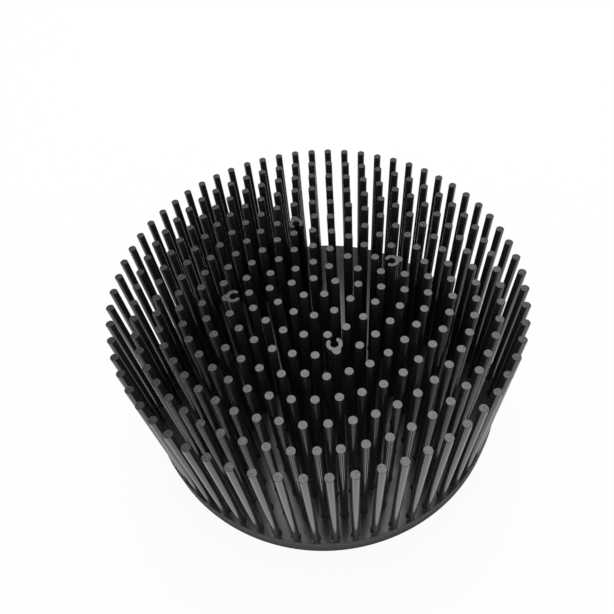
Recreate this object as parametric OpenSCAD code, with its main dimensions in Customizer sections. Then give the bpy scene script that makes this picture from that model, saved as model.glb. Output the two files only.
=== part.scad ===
// Pin fin heat sink
//
// One piece of aluminium, cold forged from a single slug and anodised black: a round base
// plate, a centre pin, and rings of upright round pins, all cut to one height. Ring k holds
// k times as many pins as the first ring, so the pitch along every ring is nearly the same.
// Four pins of the fourth ring grow into open screw ports, C-shaped columns as tall as the
// pins, in which thread-cutting screws hold a bracket or a housing over the pin tips.
//
// Millimetres, +Z up. The origin is the centre of the underside, which is the flat face that
// takes the heat. The screw ports stand on the X and Y axes.

/* [Pins] */
// Number of rings of pins round the centre pin
ring_count = 9; // [5:1:10]
// Distance from one ring to the next
ring_pitch = 7.2; // [6.4:0.1:9]
// Pins in the first ring
first_ring_pins = 7; // [6:1:8]
// Diameter of a pin
pin_d = 2.6; // [2:0.1:3.4]
// Height of the pins above the base plate
pin_h = 54.5; // [20:0.5:80]
// Chamfer round the top of a pin
tip_chamfer = 0.15; // [0.05:0.05:0.4]
// Height and width of the flare at the foot of a pin
foot_flare = 0.25; // [0.1:0.05:0.8]

/* [Base plate] */
// Thickness of the base plate
base_t = 8.5; // [4:0.5:16]
// Width of the flat rim between the feet of the outermost pins and the edge's chamfer
rim_land = 0.1; // [0.1:0.1:8]
// Chamfer round the upper and lower edge of the base plate
base_chamfer = 0.3; // [0.1:0.1:1]

/* [Screw ports] */
// Number of screw ports, evenly spaced round the plate
port_count = 4; // [2:2:4]
// Diameter of the bore in which a screw cuts its thread
port_bore_d = 2.4; // [2:0.1:2.8]
// Thickness of the wall round the bore
port_wall = 1.25; // [1:0.05:1.5]
// Distance that the carrying pin stands in from the circle of its ring
port_inset = 0.4; // [0:0.1:0.6]
// Distance from the centre of the carrying pin in to the centre of the bore
port_setback = 2.4; // [2:0.1:2.8]
// Width of the open mouth, which faces the middle of the plate
port_mouth_w = 1.65; // [1:0.05:1.8]
// Rounding of the outer edges of the two lips, limited to half the wall
port_lip_r = 0.6; // [0.2:0.05:0.75]
// Fillet in the waist between the carrying pin and the wall
port_waist_r = 0.5; // [0.2:0.1:1.5]

/* [Hidden] */
$fn = 48;

// The ring whose pins carry the ports, and the pin of that ring, counted from the line on
// which all the rings start, that carries the port on the +X axis.
port_ring = 4;
port_start_pin = 2;

base_r = ring_count * ring_pitch + pin_d / 2 + foot_flare + rim_land + base_chamfer;
port_ring_pins = port_ring * first_ring_pins;
ring_start_angle = -port_start_pin * 360 / port_ring_pins;
port_r = port_bore_d / 2 + port_wall;
port_circle_r = port_ring * ring_pitch - port_inset - port_setback;

// How far the pins and ports are sunk into the base plate, to make one solid with it. The
// flare of a pin goes on widening down there, so that it crosses the plate's upper face at
// an angle, and this depth keeps the feet of the outermost pins inside the plate.
root = base_chamfer;

// True for a pin that is part of a screw port, counted as port_start_pin is.
function carries_port(ring, i) =
    ring == port_ring && (i - port_start_pin) % (port_ring_pins / port_count) == 0;

module base_plate() {
    rotate_extrude()
        polygon([
            [0, 0],
            [base_r - base_chamfer, 0],
            [base_r, base_chamfer],
            [base_r, base_t - base_chamfer],
            [base_r - base_chamfer, base_t],
            [0, base_t],
        ]);
}

// A pin on the Z axis, from its root in the plate to its tip.
module pin() {
    r = pin_d / 2;
    top = base_t + pin_h;
    rotate_extrude()
        polygon([
            [0, base_t - root],
            [r + foot_flare + root, base_t - root],
            [r, base_t + foot_flare],
            [r, top - tip_chamfer],
            [r - tip_chamfer, top],
            [0, top],
        ]);
}

module pin_field() {
    pin();
    for (ring = [1 : ring_count]) {
        pins = ring * first_ring_pins;
        for (i = [0 : pins - 1])
            if (!carries_port(ring, i))
                rotate([0, 0, ring_start_angle + i * 360 / pins])
                    translate([ring * ring_pitch, 0, 0])
                        pin();
    }
}

// Fills both corners between the wall of a port and its pin, out to a circle of radius
// port_waist_r that touches the two of them.
module port_waist() {
    to_bore = port_r + port_waist_r;
    to_pin = pin_d / 2 + port_waist_r;
    x = (to_bore ^ 2 - to_pin ^ 2 + port_setback ^ 2) / (2 * port_setback);
    y = sqrt(to_bore ^ 2 - x ^ 2);
    difference() {
        polygon([[0, 0], [x, -y], [port_setback, 0], [x, y]]);
        for (side = [-1, 1])
            translate([x, side * y]) circle(r = port_waist_r);
    }
}

// Section of a port: bore on the origin, carrying pin on +X, mouth on -X.
module port_section() {
    lip_r = min(port_lip_r, port_wall / 2);
    lip_y = port_mouth_w / 2 + lip_r;
    lip_x = -sqrt((port_r - lip_r) ^ 2 - lip_y ^ 2);
    rim = port_r / (port_r - lip_r);
    difference() {
        union() {
            circle(r = port_r);
            translate([port_setback, 0]) circle(d = pin_d);
            port_waist();
        }
        circle(d = port_bore_d);
        translate([-2 * port_r, -port_mouth_w / 2]) square([2 * port_r, port_mouth_w]);
        // The sharp corner outside each lip's rounding
        for (side = [-1, 1])
            polygon([
                [lip_x, side * port_mouth_w / 2],
                [lip_x, side * lip_y],
                [lip_x * rim, side * lip_y * rim],
                [lip_x - port_r, side * lip_y],
                [lip_x - port_r, side * port_mouth_w / 2],
            ]);
    }
    for (side = [-1, 1])
        translate([lip_x, side * lip_y]) circle(r = lip_r);
}

module screw_ports() {
    for (i = [0 : port_count - 1])
        rotate([0, 0, i * 360 / port_count])
            translate([port_circle_r, 0, base_t - root])
                linear_extrude(root + pin_h)
                    port_section();
}

module heat_sink() {
    color("#1d1d20")
    union() {
        base_plate();
        pin_field();
        screw_ports();
    }
}

heat_sink();
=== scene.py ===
"""A round pin fin heat sink in black anodised aluminium, dressed and lit for a studio picture.

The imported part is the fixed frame. Its box gives the width of the plate and the height of
the pins, and the forging is modelled again here with true chamfers, with the small leans
that pins pick up in handling, and with a finish of its own for each kind of surface.
Everything is in metres, +Z up, with the origin at the centre of the underside.
"""

import logging
import math
import random
from dataclasses import dataclass, field
from enum import Enum
from typing import Callable, Iterable, Iterator

import bmesh
import bpy
from mathutils import Matrix, Vector

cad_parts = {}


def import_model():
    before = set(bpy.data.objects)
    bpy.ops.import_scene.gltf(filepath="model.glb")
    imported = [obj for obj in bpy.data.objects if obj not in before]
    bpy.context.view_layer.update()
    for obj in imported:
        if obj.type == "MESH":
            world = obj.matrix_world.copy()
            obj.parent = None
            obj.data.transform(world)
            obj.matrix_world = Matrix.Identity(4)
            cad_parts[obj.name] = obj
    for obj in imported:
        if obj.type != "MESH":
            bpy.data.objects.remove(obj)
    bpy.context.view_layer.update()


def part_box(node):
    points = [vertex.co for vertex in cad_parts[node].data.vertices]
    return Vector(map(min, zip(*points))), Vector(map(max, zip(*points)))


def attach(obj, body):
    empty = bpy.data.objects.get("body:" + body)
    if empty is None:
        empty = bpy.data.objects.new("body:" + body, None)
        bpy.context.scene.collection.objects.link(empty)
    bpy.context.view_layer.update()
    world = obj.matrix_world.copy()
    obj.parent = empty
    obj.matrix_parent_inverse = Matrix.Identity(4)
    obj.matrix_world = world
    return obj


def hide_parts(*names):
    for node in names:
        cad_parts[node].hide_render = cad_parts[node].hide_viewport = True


LOG = logging.getLogger("pin_fin_heat_sink")
MM = 0.001
NODE = "heat_sink"

# Two heights that differ by less than this are the same height.
SAME_HEIGHT = 0.01 * MM
# A face is level where its normal's Z is more than this.
LEVEL = 0.99

FaceTest = Callable[[bmesh.types.BMFace], bool]
EdgeTest = Callable[[bmesh.types.BMEdge], bool]


class Surface(Enum):
    """The surfaces of the forging. The values are the indices of its material slots."""

    DRAWN = 0
    CUT = 1
    PRESSED = 2
    TURNED = 3


class Bench:
    """The modelling moves that every sub-part is made with."""

    @staticmethod
    def take(*things: bpy.types.Object) -> None:
        """Selects only these objects and makes the first of them active.

        Args:
            *things: The objects that the next operator is to act on.
        """
        bpy.ops.object.select_all(action="DESELECT")
        for thing in things:
            thing.select_set(True)
        bpy.context.view_layer.objects.active = things[0]

    @staticmethod
    def cylinder(name: str, radius: float, low: float, high: float,
                 sides: int) -> bpy.types.Object:
        """Adds an upright cylinder on the Z axis whose place is in its mesh.

        Args:
            name: Name of the new object.
            radius: Radius of the cylinder.
            low: Height of its lower face.
            high: Height of its upper face.
            sides: Number of its sides.

        Returns:
            The new object, with its origin at the world's.
        """
        bpy.ops.object.select_all(action="DESELECT")
        bpy.ops.mesh.primitive_cylinder_add(
            vertices=sides, radius=radius, depth=high - low,
            location=(0.0, 0.0, (low + high) / 2),
        )
        made = bpy.context.object
        made.name = name
        bpy.ops.object.transform_apply(location=True, rotation=True, scale=True)
        return made

    @staticmethod
    def edit(thing: bpy.types.Object) -> None:
        """Opens an object for editing with nothing in it selected.

        Args:
            thing: The object whose mesh is to be shaped.
        """
        Bench.take(thing)
        bpy.ops.object.mode_set(mode="EDIT")
        bpy.ops.mesh.select_mode(type="EDGE")
        bpy.ops.mesh.select_all(action="DESELECT")

    @staticmethod
    def done() -> None:
        """Leaves edit mode."""
        bpy.ops.object.mode_set(mode="OBJECT")

    @staticmethod
    def pick_edges(thing: bpy.types.Object, wanted: EdgeTest) -> None:
        """Selects edges of the mesh that is open for editing.

        Args:
            thing: The object being edited.
            wanted: Says whether an edge is to be selected.
        """
        shape = bmesh.from_edit_mesh(thing.data)
        for edge in shape.edges:
            edge.select_set(wanted(edge))
        bmesh.update_edit_mesh(thing.data)

    @staticmethod
    def bevel_top(thing: bpy.types.Object, top: float, width: float) -> None:
        """Chamfers the edges round the flat top of a shell.

        Args:
            thing: The shell.
            top: Height of its flat top.
            width: Width of the chamfer.
        """
        Bench.edit(thing)
        Bench.pick_edges(thing, lambda edge: min(v.co.z for v in edge.verts) > top - SAME_HEIGHT)
        bpy.ops.mesh.bevel(offset=width, offset_type="OFFSET", segments=1)
        Bench.done()

    @staticmethod
    def pick_faces(thing: bpy.types.Object, wanted: FaceTest) -> None:
        """Selects faces of the mesh that is open for editing.

        Args:
            thing: The object being edited.
            wanted: Says whether a face is to be selected.
        """
        bpy.ops.mesh.select_mode(type="FACE")
        shape = bmesh.from_edit_mesh(thing.data)
        for face in shape.faces:
            face.select_set(wanted(face))
        bmesh.update_edit_mesh(thing.data)

    @staticmethod
    def fuse(target: bpy.types.Object, added: bpy.types.Object) -> None:
        """Makes two closed shells one and removes the second object.

        Args:
            target: The shell that the other becomes a part of.
            added: The shell that is used up.
        """
        union = target.modifiers.new("fuse", "BOOLEAN")
        union.operation = "UNION"
        union.solver = "MANIFOLD"
        union.object = added
        Bench.take(target)
        bpy.ops.object.modifier_apply(modifier=union.name)
        Bench.take(added)
        bpy.ops.object.delete()

    @staticmethod
    def copy_of(thing: bpy.types.Object, placed: Matrix) -> bpy.types.Object:
        """Copies an object with a mesh of its own, placed in that mesh.

        Args:
            thing: The object that is copied.
            placed: The transform that the copy's mesh gets.

        Returns:
            The copy, with its origin at the world's.
        """
        copy = thing.copy()
        copy.data = thing.data.copy()
        copy.data.transform(placed)
        bpy.context.scene.collection.objects.link(copy)
        return copy

    @staticmethod
    def repeat(name: str, model: bpy.types.Object, places: Iterable[Matrix]) -> bpy.types.Object:
        """Copies a shell to many places and joins the copies into one object.

        Args:
            name: Name of the result.
            model: The shell that is copied and then used up.
            places: The transform of each copy.

        Returns:
            One object of separate closed shells.
        """
        copies = [Bench.copy_of(model, placed) for placed in places]
        Bench.take(model)
        bpy.ops.object.delete()
        Bench.take(*copies)
        bpy.ops.object.join()
        joined = bpy.context.object
        joined.name = name
        joined.data.name = name
        LOG.info("%s: %d alike", name, len(copies))
        return joined


class Outline:
    """A flat outline that is drawn point by point, as lines and arcs that follow each other."""

    def __init__(self, name: str, start: tuple[float, float], arc_step: float) -> None:
        """Starts an outline at one point, which stays open for editing.

        Args:
            name: Name of the new object.
            start: The first point, in the XY plane.
            arc_step: The angle that one side of an arc turns through.
        """
        bpy.ops.object.select_all(action="DESELECT")
        bpy.ops.mesh.primitive_plane_add(size=MM)
        self.drawn = bpy.context.object
        self.drawn.name = name
        self.arc_step = arc_step
        self.point = Vector((*start, 0.0))
        bpy.ops.object.mode_set(mode="EDIT")
        # Only vertex mode keeps a lone point selected, for the extrude and spin that follow.
        bpy.ops.mesh.select_mode(type="VERT")
        bpy.ops.mesh.select_all(action="SELECT")
        bpy.ops.mesh.merge(type="CENTER")
        bpy.ops.transform.translate(value=self.point)

    def line_to(self, x: float, y: float) -> None:
        """Draws a straight line from the last point.

        Args:
            x: Where the line ends along X.
            y: Where it ends along Y.
        """
        target = Vector((x, y, 0.0))
        move = {"value": target - self.point}
        bpy.ops.mesh.extrude_vertices_move(TRANSFORM_OT_translate=move)
        self.point = target

    def arc(self, x: float, y: float, turn: float) -> None:
        """Draws an arc from the last point round a centre.

        Args:
            x: Where the centre is along X.
            y: Where it is along Y.
            turn: The angle of the arc, which is positive where it runs counter-clockwise.
        """
        centre = Vector((x, y, 0.0))
        steps = max(2, math.ceil(abs(turn) / self.arc_step))
        # Spin turns clockwise about +Z, so its axis points down.
        bpy.ops.mesh.spin(steps=steps, angle=turn, center=centre, axis=(0.0, 0.0, -1.0))
        self.point = centre + Matrix.Rotation(turn, 3, "Z") @ (self.point - centre)

    def mirrored_prism(self, low: float, high: float) -> bpy.types.Object:
        """Closes the outline with its mirror image across the XZ plane and raises it.

        Args:
            low: Height of the lower face.
            high: Height of the upper face.

        Returns:
            The prism as one closed shell.
        """
        Bench.done()
        mirror = self.drawn.modifiers.new("mirror", "MIRROR")
        mirror.use_axis = (False, True, False)
        mirror.merge_threshold = SAME_HEIGHT
        Bench.take(self.drawn)
        bpy.ops.object.modifier_apply(modifier=mirror.name)
        Bench.edit(self.drawn)
        bpy.ops.mesh.select_all(action="SELECT")
        bpy.ops.mesh.edge_face_add()
        bpy.ops.transform.translate(value=(0.0, 0.0, low))
        rise = {"value": (0.0, 0.0, high - low)}
        bpy.ops.mesh.extrude_region_move(TRANSFORM_OT_translate=rise)
        bpy.ops.mesh.select_all(action="SELECT")
        bpy.ops.mesh.normals_make_consistent(inside=False)
        Bench.done()
        return self.drawn


@dataclass(frozen=True)
class Stock:
    """Outside sizes of the forging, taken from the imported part."""

    plate_radius: float
    height: float

    @classmethod
    def from_frame(cls) -> "Stock":
        """Reads the sizes off the CAD node's box.

        Returns:
            The plate's radius and the height over the pins.
        """
        low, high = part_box(NODE)
        return cls(plate_radius=min(-low.x, -low.y, high.x, high.y), height=high.z)


@dataclass(frozen=True)
class Bend:
    """A pin that was knocked out of line.

    Attributes:
        ring: The ring that the pin stands in.
        place: Its number in that ring, counted from the line on which all rings start.
        outward: How far its tip has moved away from the axis.
        sideways: How far its tip has moved round the ring.
    """

    ring: int
    place: int
    outward: float
    sideways: float


@dataclass(frozen=True)
class PinPlace:
    """Where a pin stands, and how far its tip leans from upright."""

    foot: Vector
    lean: Vector


@dataclass
class RingPattern:
    """The rings of pins, in which ring k holds k times as many pins as the first.

    Attributes:
        rings: Number of rings round the centre pin.
        pitch: Distance from one ring to the next.
        first_ring_pins: Pins in the first ring.
        port_ring: The ring whose pins carry the screw ports.
        port_start: The pin of that ring that carries the port on the +X axis.
        ports: Number of screw ports.
        usual_lean: How far a tip usually stands out of line.
        most_lean: How far a tip may stand out of line without counting as bent.
        bends: The pins that were knocked out of line.
    """

    rings: int = 9
    pitch: float = 7.2 * MM
    first_ring_pins: int = 7
    port_ring: int = 4
    port_start: int = 2
    ports: int = 4
    usual_lean: float = 0.1 * MM
    most_lean: float = 0.25 * MM
    bends: tuple[Bend, ...] = (
        Bend(1, 1, -0.2 * MM, 0.6 * MM),
        Bend(2, 3, -0.6 * MM, 0.4 * MM),
        Bend(3, 12, -0.7 * MM, 0.0 * MM),
        Bend(3, 17, 0.7 * MM, 0.6 * MM),
        Bend(4, 8, -0.2 * MM, -0.7 * MM),
        Bend(4, 24, 0.4 * MM, 0.4 * MM),
        Bend(5, 5, -0.3 * MM, -0.7 * MM),
        Bend(5, 27, -1.1 * MM, 0.3 * MM),
        Bend(7, 37, -0.5 * MM, -0.2 * MM),
    )

    def start_angle(self) -> float:
        """The angle of the line on which all rings start."""
        return -self.port_start * math.tau / (self.port_ring * self.first_ring_pins)

    def carries_port(self, ring: int, place: int) -> bool:
        """Whether this pin is part of a screw port."""
        spacing = self.port_ring * self.first_ring_pins // self.ports
        return ring == self.port_ring and (place - self.port_start) % spacing == 0

    def lean_of(self, ring: int, place: int, chance: random.Random) -> tuple[float, float]:
        """Finds how far a pin's tip stands out of line.

        Args:
            ring: The ring that the pin stands in.
            place: Its number in the ring.
            chance: The seeded source of the usual small leans.

        Returns:
            The tip's offsets away from the axis and round the ring.
        """
        usual = [max(-self.most_lean, min(self.most_lean, chance.gauss(0.0, self.usual_lean)))
                 for _ in range(2)]
        for bend in self.bends:
            if (bend.ring, bend.place) == (ring, place):
                return bend.outward, bend.sideways
        return usual[0], usual[1]

    def places(self, chance: random.Random) -> Iterator[PinPlace]:
        """Yields the place and lean of every free pin, the centre pin first.

        Args:
            chance: The seeded source of the usual small leans.

        Yields:
            One place for each pin that isn't part of a screw port.
        """
        yield PinPlace(Vector((0.0, 0.0, 0.0)), Vector((0.0, 0.0, 0.0)))
        for ring in range(1, self.rings + 1):
            count = ring * self.first_ring_pins
            for place in range(count):
                outward, sideways = self.lean_of(ring, place, chance)
                if self.carries_port(ring, place):
                    continue
                angle = self.start_angle() + place * math.tau / count
                away = Vector((math.cos(angle), math.sin(angle), 0.0))
                along = Vector((-away.y, away.x, 0.0))
                yield PinPlace(away * ring * self.pitch, away * outward + along * sideways)


@dataclass
class BasePlate:
    """The round plate that takes the heat.

    Attributes:
        radius: Its radius.
        thickness: Its thickness.
        chamfer: Chamfer round both of its edges.
        sides: Number of straight sides that stand for its round edge.
        rings: Number of rings that divide its upper face, so that no face of it is large.
    """

    radius: float
    thickness: float = 8.5 * MM
    chamfer: float = 0.3 * MM
    sides: int = 168
    rings: int = 8

    def build(self) -> bpy.types.Object:
        """Models the plate.

        Returns:
            The plate as one closed shell.
        """
        plate = Bench.cylinder("base_plate", self.radius, 0.0, self.thickness, self.sides)
        Bench.edit(plate)
        Bench.pick_edges(
            plate, lambda edge: abs(edge.verts[0].co.z - edge.verts[1].co.z) < SAME_HEIGHT)
        bpy.ops.mesh.bevel(offset=self.chamfer, offset_type="OFFSET", segments=1)
        Bench.pick_faces(plate, lambda face: face.normal.z > LEVEL)
        step = (self.radius - self.chamfer) / (self.rings + 1)
        for _ in range(self.rings):
            bpy.ops.mesh.inset(thickness=step, use_even_offset=True)
        Bench.done()
        return plate


@dataclass
class Pin:
    """One round pin, forged upright from the plate.

    Attributes:
        radius: Its radius.
        foot: Height of the plate's upper face, where the pin starts.
        tip: Height of its flat tip.
        root: How far it is sunk into the plate before the two are fused.
        flare: Height and width of the flare at its foot.
        tip_chamfer: Chamfer round its tip.
        sides: Number of its sides.
    """

    foot: float
    tip: float
    radius: float = 1.3 * MM
    root: float = 0.3 * MM
    flare: float = 0.3 * MM
    tip_chamfer: float = 0.07 * MM
    sides: int = 18

    def build(self) -> bpy.types.Object:
        """Models the pin on the Z axis.

        Returns:
            The pin as one closed shell.
        """
        pin = Bench.cylinder("pin", self.radius, self.foot - self.root, self.tip, self.sides)
        Bench.bevel_top(pin, self.tip, self.tip_chamfer)
        Bench.edit(pin)
        bpy.ops.mesh.select_all(action="SELECT")
        bpy.ops.mesh.bisect(plane_co=(0.0, 0.0, self.foot + self.flare), plane_no=(0.0, 0.0, 1.0))
        Bench.pick_edges(pin, lambda edge: max(v.co.z for v in edge.verts) < self.foot)
        spread = 1.0 + (self.flare + self.root) / self.radius
        bpy.ops.transform.resize(value=(spread, spread, 1.0), center_override=(0.0, 0.0, self.foot))
        Bench.done()
        return pin

    def leaning(self, place: PinPlace) -> Matrix:
        """The transform that stands a pin at its place and leans its tip.

        Args:
            place: Where the pin stands and how far it leans.

        Returns:
            A shear that keeps the foot in place and the tip level, after a move.
        """
        slope = place.lean / (self.tip - self.foot)
        shear = Matrix.Identity(4)
        shear[0][2] = slope.x
        shear[1][2] = slope.y
        shear[0][3] = -slope.x * self.foot
        shear[1][3] = -slope.y * self.foot
        return Matrix.Translation(place.foot) @ shear


@dataclass
class ScrewPort:
    """A C-shaped column with an open bore, grown from a pin of the pattern.

    Attributes:
        foot: Height of the plate's upper face.
        tip: Height of its flat tip.
        pin_centre: Distance from the axis of the plate to the carrying pin.
        pin_radius: Radius of the carrying pin.
        setback: Distance from the carrying pin in to the bore.
        bore_radius: Radius of the bore.
        wall: Thickness of the wall round the bore.
        mouth: Width of the open mouth, which faces the middle of the plate.
        lip_rounding: Rounding of the outer edges of the two lips.
        waist: Fillet between the carrying pin and the wall.
        root: How far the column is sunk into the plate before the two are fused.
        tip_chamfer: Chamfer round its tip.
        arc_step: The angle that one side of its round stretches turns through.
    """

    foot: float
    tip: float
    pin_centre: float
    pin_radius: float = 1.3 * MM
    setback: float = 2.4 * MM
    bore_radius: float = 1.2 * MM
    wall: float = 1.25 * MM
    mouth: float = 1.65 * MM
    lip_rounding: float = 0.6 * MM
    waist: float = 0.5 * MM
    root: float = 0.3 * MM
    tip_chamfer: float = 0.07 * MM
    arc_step: float = math.radians(11.0)

    def build(self) -> bpy.types.Object:
        """Models the port that stands on the +X axis.

        Returns:
            The column as one closed shell.
        """
        port = self.outline().mirrored_prism(self.foot - self.root, self.tip)
        Bench.bevel_top(port, self.tip, self.tip_chamfer)
        return port

    def outline(self) -> Outline:
        """Draws half of the section: bore, lip, outer wall, waist and carrying pin.

        Returns:
            The open outline from the back of the bore round to the outside of the pin.
        """
        bore = self.pin_centre - self.setback
        outside = self.bore_radius + self.wall
        half_mouth = self.mouth / 2
        lip = Vector((0.0, half_mouth + self.lip_rounding))
        lip.x = -math.sqrt((outside - self.lip_rounding) ** 2 - lip.y ** 2)
        lip_angle = math.atan2(lip.y, lip.x)
        to_bore = outside + self.waist
        to_pin = self.pin_radius + self.waist
        hollow = Vector((0.0, 0.0))
        hollow.x = (to_bore ** 2 - to_pin ** 2 + self.setback ** 2) / (2 * self.setback)
        hollow.y = math.sqrt(to_bore ** 2 - hollow.x ** 2)
        hollow_angle = math.atan2(hollow.y, hollow.x)
        pin_angle = math.atan2(hollow.y, hollow.x - self.setback)
        drawn = Outline("screw_port", (bore + self.bore_radius, 0.0), self.arc_step)
        drawn.arc(bore, 0.0, math.pi - math.asin(half_mouth / self.bore_radius))
        drawn.line_to(bore + lip.x, half_mouth)
        drawn.arc(bore + lip.x, lip.y, lip_angle - 1.5 * math.pi)
        drawn.arc(bore, 0.0, hollow_angle - lip_angle)
        drawn.arc(bore + hollow.x, hollow.y, pin_angle - hollow_angle)
        drawn.arc(self.pin_centre, 0.0, -pin_angle)
        return drawn


@dataclass(frozen=True)
class Anodising:
    """One finish of the black anodised aluminium.

    Attributes:
        name: Name of the material.
        dye: Colour of the dyed oxide where it is deepest.
        faded: Colour where it is thinnest.
        mottle: Size of the patches between the two.
        sheen: Lowest and highest roughness.
        grain: Size of the finest grain.
        draw: How much longer the grain is along Z than across.
        depth: Depth of the grain.
        reflectance: Index of refraction of the sealed oxide over the metal.
    """

    name: str
    dye: tuple[float, float, float]
    faded: tuple[float, float, float]
    mottle: float
    sheen: tuple[float, float]
    grain: float
    draw: float
    depth: float
    reflectance: float

    def material(self, tone: bpy.types.NodeTree, grain: bpy.types.NodeTree) -> bpy.types.Material:
        """Makes the material.

        Args:
            tone: The shared group that mottles the dye.
            grain: The shared group that gives roughness and height.

        Returns:
            The material, ready for a slot.
        """
        made = bpy.data.materials.new(self.name)
        made.use_nodes = True
        tree = made.node_tree
        tree.nodes.clear()
        put = NodeRow(tree)
        where = put.node("ShaderNodeTexCoord")
        drawn = put.node("ShaderNodeMapping", Scale=(1.0, 1.0, 1.0 / self.draw))
        put.link(where.outputs["Object"], drawn.inputs["Vector"])
        mottled = put.group(tone, Dye=(*self.dye, 1.0), Faded=(*self.faded, 1.0),
                            Scale=1.0 / self.mottle)
        grained = put.group(grain, Scale=1.0 / self.grain, Smooth=self.sheen[0],
                            Rough=self.sheen[1])
        bump = put.node("ShaderNodeBump", Strength=1.0, Distance=self.depth)
        shader = put.node("ShaderNodeBsdfPrincipled", IOR=self.reflectance, Metallic=0.0)
        out = put.node("ShaderNodeOutputMaterial")
        put.link(drawn.outputs["Vector"], mottled.inputs["Vector"])
        put.link(drawn.outputs["Vector"], grained.inputs["Vector"])
        put.link(mottled.outputs["Color"], shader.inputs["Base Color"])
        put.link(grained.outputs["Roughness"], shader.inputs["Roughness"])
        put.link(grained.outputs["Height"], bump.inputs["Height"])
        put.link(bump.outputs["Normal"], shader.inputs["Normal"])
        put.link(shader.outputs["BSDF"], out.inputs["Surface"])
        return made


class NodeRow:
    """Places nodes in a tree, one after the other, and links them."""

    SPACING = 220.0

    def __init__(self, tree: bpy.types.NodeTree) -> None:
        """Starts a row in this tree."""
        self.tree = tree
        self.count = 0

    def node(self, kind: str, **values: object) -> bpy.types.Node:
        """Adds a node and sets some of its inputs.

        Args:
            kind: Blender's name for the kind of node.
            **values: Values of its inputs, by their names with _ for a space.

        Returns:
            The node.
        """
        made = self.tree.nodes.new(kind)
        made.location = (self.SPACING * self.count, 0.0)
        self.count += 1
        for name, value in values.items():
            made.inputs[name.replace("_", " ")].default_value = value
        return made

    def group(self, shared: bpy.types.NodeTree, **values: object) -> bpy.types.Node:
        """Adds a shared group with its own values.

        Args:
            shared: The group's tree.
            **values: Values of its inputs, by name.

        Returns:
            The group's node.
        """
        made = self.node("ShaderNodeGroup")
        made.node_tree = shared
        for name, value in values.items():
            made.inputs[name].default_value = value
        return made

    def noise(self, taken: bpy.types.Node, **values: float) -> bpy.types.Node:
        """Adds a noise whose place and scale come from outside the group.

        Args:
            taken: The group's input node.
            **values: Values of the noise's other inputs.

        Returns:
            The noise's node.
        """
        made = self.node("ShaderNodeTexNoise", **values)
        for name in ("Vector", "Scale"):
            self.link(taken.outputs[name], made.inputs[name])
        return made

    def math(self, operation: str, *terms: object) -> bpy.types.NodeSocket:
        """Adds a sum, a product or another operation on numbers.

        Args:
            operation: Blender's name for the operation.
            *terms: Its inputs, each a number or a socket to link.

        Returns:
            The socket that holds the result.
        """
        made = self.node("ShaderNodeMath")
        made.operation = operation
        for place, term in enumerate(terms):
            if isinstance(term, (int, float)):
                made.inputs[place].default_value = term
            else:
                self.link(term, made.inputs[place])
        return made.outputs["Value"]

    def blend(self, value: bpy.types.NodeSocket, over: tuple[float, float],
              ends: tuple[float, float]) -> bpy.types.NodeSocket:
        """Adds a smooth change from one number to another.

        Args:
            value: The socket whose value decides.
            over: The values between which the change happens.
            ends: The numbers before and after it.

        Returns:
            The socket that holds the result.
        """
        made = self.node("ShaderNodeMapRange", From_Min=over[0], From_Max=over[1],
                         To_Min=ends[0], To_Max=ends[1])
        made.interpolation_type = "SMOOTHSTEP"
        self.link(value, made.inputs["Value"])
        return made.outputs["Result"]

    def link(self, source: bpy.types.NodeSocket, target: bpy.types.NodeSocket) -> None:
        """Links an output to an input."""
        self.tree.links.new(source, target)


class SharedGroups:
    """The shader groups that all finishes of the forging use."""

    @staticmethod
    def empty(name: str, takes: dict[str, str], gives: dict[str, str]) -> bpy.types.NodeTree:
        """Makes a group with named inputs and outputs.

        Args:
            name: Name of the group.
            takes: Type of each input, by its name.
            gives: Type of each output, by its name.

        Returns:
            The group's tree, with only its input and output nodes.
        """
        tree = bpy.data.node_groups.new(name, "ShaderNodeTree")
        for label, kind in takes.items():
            tree.interface.new_socket(name=label, in_out="INPUT", socket_type=kind)
        for label, kind in gives.items():
            tree.interface.new_socket(name=label, in_out="OUTPUT", socket_type=kind)
        return tree

    @staticmethod
    def dye_tone() -> bpy.types.NodeTree:
        """Makes the group that mottles the dye in soft patches."""
        tree = SharedGroups.empty(
            "dye_tone",
            {"Vector": "NodeSocketVector", "Dye": "NodeSocketColor",
             "Faded": "NodeSocketColor", "Scale": "NodeSocketFloat"},
            {"Color": "NodeSocketColor"},
        )
        put = NodeRow(tree)
        taken = put.node("NodeGroupInput")
        noise = put.noise(taken, Detail=3.0, Roughness=0.6)
        patches = put.blend(noise.outputs["Fac"], (0.35, 0.65), (0.0, 1.0))
        mix = put.node("ShaderNodeMix")
        mix.data_type = "RGBA"
        dye, faded = [socket for socket in mix.inputs if socket.type == "RGBA"]
        mixed, = [socket for socket in mix.outputs if socket.type == "RGBA"]
        put.link(patches, mix.inputs["Factor"])
        put.link(taken.outputs["Dye"], dye)
        put.link(taken.outputs["Faded"], faded)
        given = put.node("NodeGroupOutput")
        put.link(mixed, given.inputs["Color"])
        return tree

    @staticmethod
    def etched_grain() -> bpy.types.NodeTree:
        """Makes the group that gives the etched grain its roughness and height."""
        tree = SharedGroups.empty(
            "etched_grain",
            {"Vector": "NodeSocketVector", "Scale": "NodeSocketFloat",
             "Smooth": "NodeSocketFloat", "Rough": "NodeSocketFloat"},
            {"Roughness": "NodeSocketFloat", "Height": "NodeSocketFloat"},
        )
        put = NodeRow(tree)
        taken = put.node("NodeGroupInput")
        noise = put.noise(taken, Detail=2.0, Roughness=0.5)
        spread = put.node("ShaderNodeMapRange", From_Min=0.3, From_Max=0.7)
        put.link(noise.outputs["Fac"], spread.inputs["Value"])
        put.link(taken.outputs["Smooth"], spread.inputs["To Min"])
        put.link(taken.outputs["Rough"], spread.inputs["To Max"])
        given = put.node("NodeGroupOutput")
        put.link(spread.outputs["Result"], given.inputs["Roughness"])
        put.link(noise.outputs["Fac"], given.inputs["Height"])
        return tree


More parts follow.
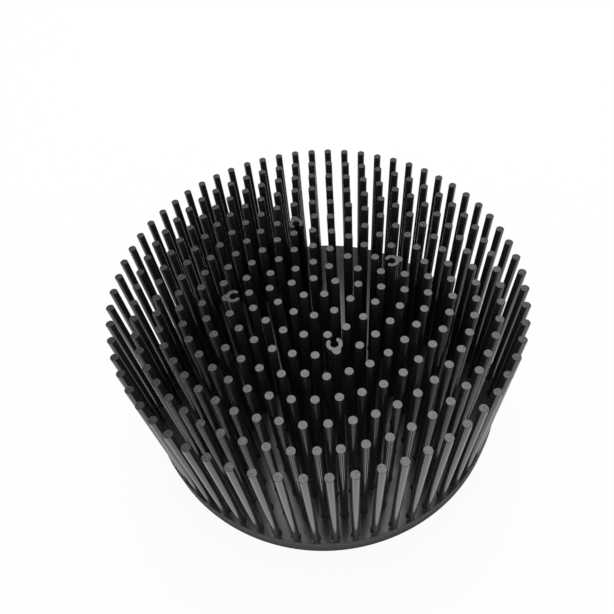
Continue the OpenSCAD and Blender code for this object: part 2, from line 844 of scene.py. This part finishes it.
@dataclass
class HeatSink:
    """The whole forging: plate, pins and screw ports fused into one closed shell.

    Attributes:
        stock: Its outside sizes.
        pattern: The rings of pins.
        port_inset: Distance that a port's pin stands in from the circle of its ring.
        seed: Seed of the small leans of the pins.
        round_up_to: Faces that meet at less than this angle are shaded as one.
        finishes: The finish of each surface.
    """

    stock: Stock
    pattern: RingPattern = field(default_factory=RingPattern)
    port_inset: float = 0.4 * MM
    seed: int = 11
    round_up_to: float = math.radians(35.0)
    finishes: dict[Surface, Anodising] = field(default_factory=lambda: {
        Surface.DRAWN: Anodising(
            "anodised_drawn_sides", dye=(0.018, 0.018, 0.024), faded=(0.025, 0.024, 0.029),
            mottle=4.0 * MM, sheen=(0.07, 0.12), grain=0.12 * MM, draw=14.0,
            depth=0.001 * MM, reflectance=1.75),
        Surface.CUT: Anodising(
            "anodised_cut_tips", dye=(0.004, 0.004, 0.006), faded=(0.032, 0.032, 0.034),
            mottle=0.45 * MM, sheen=(0.12, 0.42), grain=0.5 * MM, draw=1.0,
            depth=0.010 * MM, reflectance=1.5),
        Surface.PRESSED: Anodising(
            "anodised_pressed_plate", dye=(0.019, 0.019, 0.023), faded=(0.026, 0.025, 0.028),
            mottle=9.0 * MM, sheen=(0.15, 0.18), grain=6.0 * MM, draw=1.0,
            depth=0.0003 * MM, reflectance=1.48),
        # The turned edge and underside get a lighter colour than the other finishes. This is a
        # painted reflection that stands for the floor's light on the plate's side band. Their
        # higher roughness is the rougher turned finish itself.
        Surface.TURNED: Anodising(
            "anodised_turned_edge_painted_reflection", dye=(0.050, 0.050, 0.055), faded=(0.068, 0.068, 0.070),
            mottle=5.0 * MM, sheen=(0.45, 0.58), grain=0.18 * MM, draw=0.25,
            depth=0.002 * MM, reflectance=1.75),
    })

    def build(self) -> bpy.types.Object:
        """Models the forging, finishes it and puts it in the CAD node's place.

        Returns:
            The finished piece.
        """
        plate = BasePlate(radius=self.stock.plate_radius)
        forging = plate.build()
        Bench.fuse(forging, self.pins(plate.thickness))
        Bench.fuse(forging, self.ports(plate.thickness))
        forging.name = "forged_heat_sink"
        forging.data.name = forging.name
        Bench.take(forging)
        bpy.ops.object.shade_smooth_by_angle(angle=self.round_up_to)
        self.dress(forging, plate)
        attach(forging, "root")
        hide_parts(NODE)
        return forging

    def pins(self, foot: float) -> bpy.types.Object:
        """Stands a pin at every place of the pattern.

        Args:
            foot: Height of the plate's upper face.

        Returns:
            All free pins as one object of separate closed shells.
        """
        pin = Pin(foot=foot, tip=self.stock.height)
        places = self.pattern.places(random.Random(self.seed))
        return Bench.repeat("pins", pin.build(), (pin.leaning(place) for place in places))

    def ports(self, foot: float) -> bpy.types.Object:
        """Stands the screw ports at even turns round the plate.

        Args:
            foot: Height of the plate's upper face.

        Returns:
            All ports as one object of separate closed shells.
        """
        centre = self.pattern.port_ring * self.pattern.pitch - self.port_inset
        port = ScrewPort(foot=foot, tip=self.stock.height, pin_centre=centre)
        turns = (Matrix.Rotation(math.tau * turn / self.pattern.ports, 4, "Z")
                 for turn in range(self.pattern.ports))
        return Bench.repeat("screw_ports", port.build(), turns)

    def surface_of(self, face: bpy.types.MeshPolygon, plate: BasePlate) -> Surface:
        """Tells which surface of the forging a face belongs to.

        Args:
            face: A face of the finished mesh.
            plate: The plate that the pins stand on.

        Returns:
            The surface.
        """
        level = face.normal.z > LEVEL
        if level and face.center.z > self.stock.height - SAME_HEIGHT:
            return Surface.CUT
        if level and abs(face.center.z - plate.thickness) < SAME_HEIGHT:
            return Surface.PRESSED
        edge = face.center.z < plate.thickness and face.center.xy.length > plate.radius / 2
        underside = face.normal.z < -LEVEL
        return Surface.TURNED if edge or underside else Surface.DRAWN

    def dress(self, forging: bpy.types.Object, plate: BasePlate) -> None:
        """Gives every face the finish of its surface.

        Args:
            forging: The finished mesh.
            plate: The plate that the pins stand on.
        """
        tone = SharedGroups.dye_tone()
        grain = SharedGroups.etched_grain()
        forging.data.materials.clear()
        for surface in Surface:
            forging.data.materials.append(self.finishes[surface].material(tone, grain))
        for face in forging.data.polygons:
            face.material_index = self.surface_of(face, plate).value


@dataclass(frozen=True)
class Softbox:
    """A square lamp that faces the heat sink.

    Attributes:
        name: Name of the lamp.
        towards: Direction from the heat sink to the lamp.
        distance: Its distance.
        size: Length of its sides.
        power: Its power in watts.
    """

    name: str
    towards: tuple[float, float, float]
    distance: float
    size: float
    power: float

    def hang(self, target: Vector) -> None:
        """Hangs the lamp so that it faces the target.

        Args:
            target: The point that the lamp faces.
        """
        direction = Vector(self.towards).normalized()
        lamp = bpy.data.lights.new(self.name, "AREA")
        lamp.shape = "SQUARE"
        lamp.size = self.size
        lamp.energy = self.power
        hung = bpy.data.objects.new(self.name, lamp)
        hung.location = target + direction * self.distance
        hung.rotation_euler = direction.to_track_quat("Z", "Y").to_euler()
        bpy.context.scene.collection.objects.link(hung)


@dataclass
class Studio:
    """The white floor, the soft light and the camera.

    Attributes:
        floor_size: Length of the floor's sides.
        floor_white: Colour of the floor where light falls on it.
        shown_shadow: Share of the floor's own shading that the camera sees.
        mirrored_floor: What shiny surfaces see of the floor.
        mirrored_painted_shadow: What they see of the floor close round the plate, which is darkened
            there as a painted shadow that stands for the heat sink's contact shadow.
        ring: Inner and outer radius of the blurred border of that ring of painted shadow.
        fill: Strength of the light that comes from all round.
        behind: What shiny surfaces see of the room behind the heat sink.
        before: What they see of the room on the camera's side.
        before_border: Where along Y the one changes into the other, in a room of radius 1.
        ceiling: Share of either that they see overhead.
        ceiling_border: Where along Z that ceiling begins and is complete, in the same room.
        lamps: The softboxes.
        aim: The point on the tips that the camera faces.
        heading: Compass direction of the view, turned from +X towards +Y.
        dip: How far the view looks down.
        roll: How far the camera is turned round its view.
        distance: Distance from the camera to the point that it faces.
        lens: Focal length on a square sensor.
        sensor: Width of that sensor.
        nearest: How close to the camera a thing may be and still be shown.
    """

    floor_size: float = 6.0
    floor_white: float = 0.9
    shown_shadow: float = 0.07
    mirrored_floor: float = 0.77
    # Painted shadow: shiny surfaces see the floor darkened in a ring close round the plate, which
    # stands for the heat sink's contact shadow.
    mirrored_painted_shadow: float = 0.1
    ring: tuple[float, float] = (70.9 * MM, 71.9 * MM)
    fill: float = 0.7
    behind: float = 1.0
    before: float = 0.15
    before_border: tuple[float, float] = (-0.6, -0.2)
    ceiling: float = 0.45
    ceiling_border: tuple[float, float] = (0.55, 0.75)
    lamps: tuple[Softbox, ...] = (
        Softbox("overhead_softbox", towards=(0.160, 0.418, 0.894), distance=0.9, size=0.52,
                power=4.4),
    )
    aim: tuple[float, float, float] = (-4.6 * MM, -10.7 * MM, 63.0 * MM)
    heading: float = 82.14
    dip: float = 52.41
    roll: float = -6.64
    distance: float = 166.1 * MM
    lens: float = 31.85
    sensor: float = 36.0
    nearest: float = 5 * MM

    def build(self) -> None:
        """Lays the floor, lights the room and sets up the camera."""
        self.lay_floor()
        self.light_room()
        for lamp in self.lamps:
            lamp.hang(Vector(self.aim))
        self.set_camera()
        bpy.context.scene.view_settings.view_transform = "Standard"

    def lay_floor(self) -> None:
        """Lays a white floor that keeps a trace of the heat sink's shadow, and shows shiny surfaces
        a ring of painted shadow close round the plate.
        """
        bpy.ops.object.select_all(action="DESELECT")
        bpy.ops.mesh.primitive_plane_add(size=self.floor_size)
        floor = bpy.context.object
        floor.name = "floor"
        white = bpy.data.materials.new("white_floor")
        white.use_nodes = True
        white.node_tree.nodes.clear()
        put = NodeRow(white.node_tree)
        path = put.node("ShaderNodeLightPath")
        mirrored = path.outputs["Is Glossy Ray"]
        shown = self.seen_directly(put, path)
        where = put.node("ShaderNodeTexCoord")
        away = put.node("ShaderNodeVectorMath")
        away.operation = "LENGTH"
        put.link(where.outputs["Object"], away.inputs[0])
        # Painted shadow: what shiny surfaces see of the floor darkens inside a ring close round the
        # plate, which stands for its contact shadow.
        painted_shadow_strength = put.blend(away.outputs["Value"], self.ring,
                           (self.mirrored_painted_shadow, self.mirrored_floor))
        strength = put.math("MAXIMUM", shown, put.math("MULTIPLY", mirrored, painted_shadow_strength))
        share = put.math("MAXIMUM", put.math("MULTIPLY", shown, 1.0 - self.shown_shadow), mirrored)
        tone = self.floor_white
        shaded = put.node("ShaderNodeBsdfDiffuse", Color=(tone, tone, tone, 1.0))
        plain = put.node("ShaderNodeEmission", Color=(1.0, 1.0, 1.0, 1.0))
        put.link(strength, plain.inputs["Strength"])
        mix = put.node("ShaderNodeMixShader")
        out = put.node("ShaderNodeOutputMaterial")
        put.link(share, mix.inputs[0])
        put.link(shaded.outputs["BSDF"], mix.inputs[1])
        put.link(plain.outputs["Emission"], mix.inputs[2])
        put.link(mix.outputs["Shader"], out.inputs["Surface"])
        floor.data.materials.append(white)

    def seen_directly(self, put: NodeRow, path: bpy.types.Node) -> bpy.types.NodeSocket:
        """Tells what the camera sees, straight or through a clear thing, from what lights.

        Args:
            put: The row that the nodes are added to.
            path: Its Light Path node.

        Returns:
            The socket that is 1 for such a ray and 0 for any other.
        """
        return put.math("MAXIMUM", path.outputs["Is Camera Ray"],
                        path.outputs["Is Transmission Ray"])

    def light_room(self) -> None:
        """Makes the room, white to the camera and darker on its side to shiny surfaces."""
        world = bpy.data.worlds.new("white_room")
        bpy.context.scene.world = world
        world.use_nodes = True
        world.node_tree.nodes.clear()
        put = NodeRow(world.node_tree)
        path = put.node("ShaderNodeLightPath")
        where = put.node("ShaderNodeTexCoord")
        parts = put.node("ShaderNodeSeparateXYZ")
        put.link(where.outputs["Generated"], parts.inputs["Vector"])
        round_about = put.blend(parts.outputs["Y"], self.before_border, (self.before, self.behind))
        overhead = put.blend(parts.outputs["Z"], self.ceiling_border, (1.0, self.ceiling))
        room = put.math("MULTIPLY", round_about, overhead)
        mirrored = put.math("MULTIPLY", path.outputs["Is Glossy Ray"], room)
        shown = self.seen_directly(put, path)
        fill = put.math("MULTIPLY", path.outputs["Is Diffuse Ray"], self.fill)
        strength = put.math("MAXIMUM", put.math("MAXIMUM", mirrored, shown), fill)
        back = put.node("ShaderNodeBackground", Color=(1.0, 1.0, 1.0, 1.0))
        out = put.node("ShaderNodeOutputWorld")
        put.link(strength, back.inputs["Strength"])
        put.link(back.outputs["Background"], out.inputs["Surface"])

    def set_camera(self) -> None:
        """Sets up the camera and makes it the scene's."""
        lens = bpy.data.cameras.new("camera")
        lens.lens = self.lens
        lens.sensor_width = self.sensor
        lens.clip_start = self.nearest
        camera = bpy.data.objects.new("camera", lens)
        turned = (Matrix.Rotation(math.radians(self.heading - 90.0), 3, "Z")
                  @ Matrix.Rotation(math.radians(90.0 - self.dip), 3, "X")
                  @ Matrix.Rotation(math.radians(self.roll), 3, "Z"))
        camera.rotation_euler = turned.to_euler()
        camera.location = Vector(self.aim) + turned @ Vector((0.0, 0.0, self.distance))
        bpy.context.scene.collection.objects.link(camera)
        bpy.context.scene.camera = camera


def main() -> None:
    """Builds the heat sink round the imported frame, then the studio."""
    logging.basicConfig(level=logging.INFO, format="%(name)s: %(message)s")
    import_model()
    forging = HeatSink(stock=Stock.from_frame()).build()
    LOG.info("%s: %d faces", forging.name, len(forging.data.polygons))
    Studio().build()


if __name__ == "__main__":
    main()
